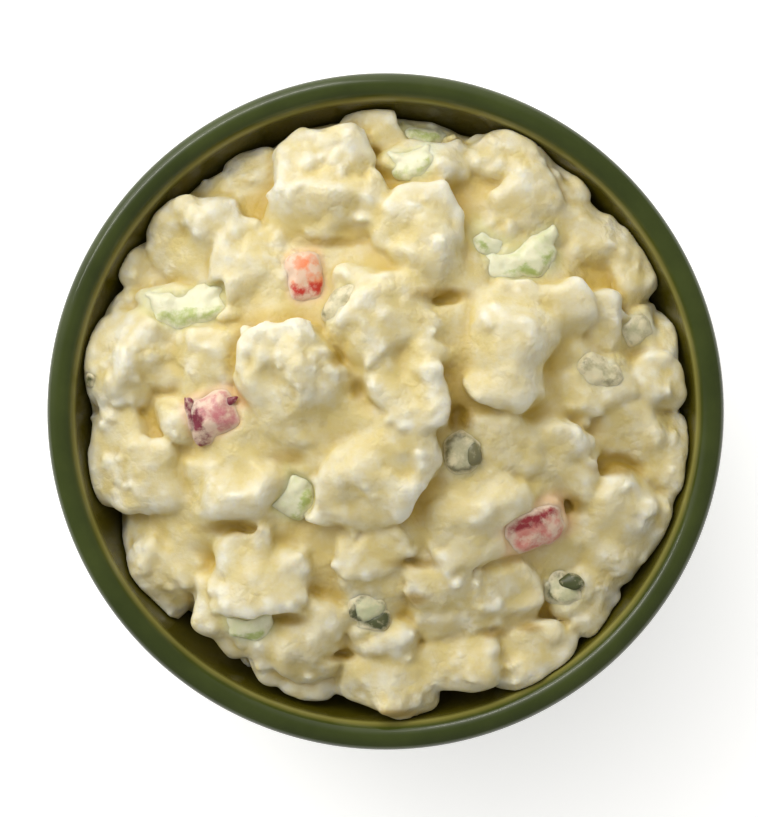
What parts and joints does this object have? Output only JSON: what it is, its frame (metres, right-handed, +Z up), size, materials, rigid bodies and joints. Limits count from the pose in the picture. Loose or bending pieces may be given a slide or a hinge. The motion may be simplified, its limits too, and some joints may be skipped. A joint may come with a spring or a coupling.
{
  "type": "cup of potato salad",
  "caption": "Small round glazed bowl with a rolled rim and a foot ring, filled and heaped with dressed potato salad.",
  "frame": {"origin": "centre of the foot ring's underside, where the bowl rests on the table", "axes": "+Z up along the bowl's axis; seen from above, +X is to the right of the picture and +Y is towards its top"},
  "size_m": [0.12, 0.12, 0.0659],
  "materials": {
    "glaze": "glossy dark green glaze, olive where it runs thin inside the rim",
    "salad": "moist cream-coloured food with a soft sheen"
  },
  "bodies": {
    "root": {"bowl": "glaze", "potato_salad": "salad"}
  },
  "joints": []
}
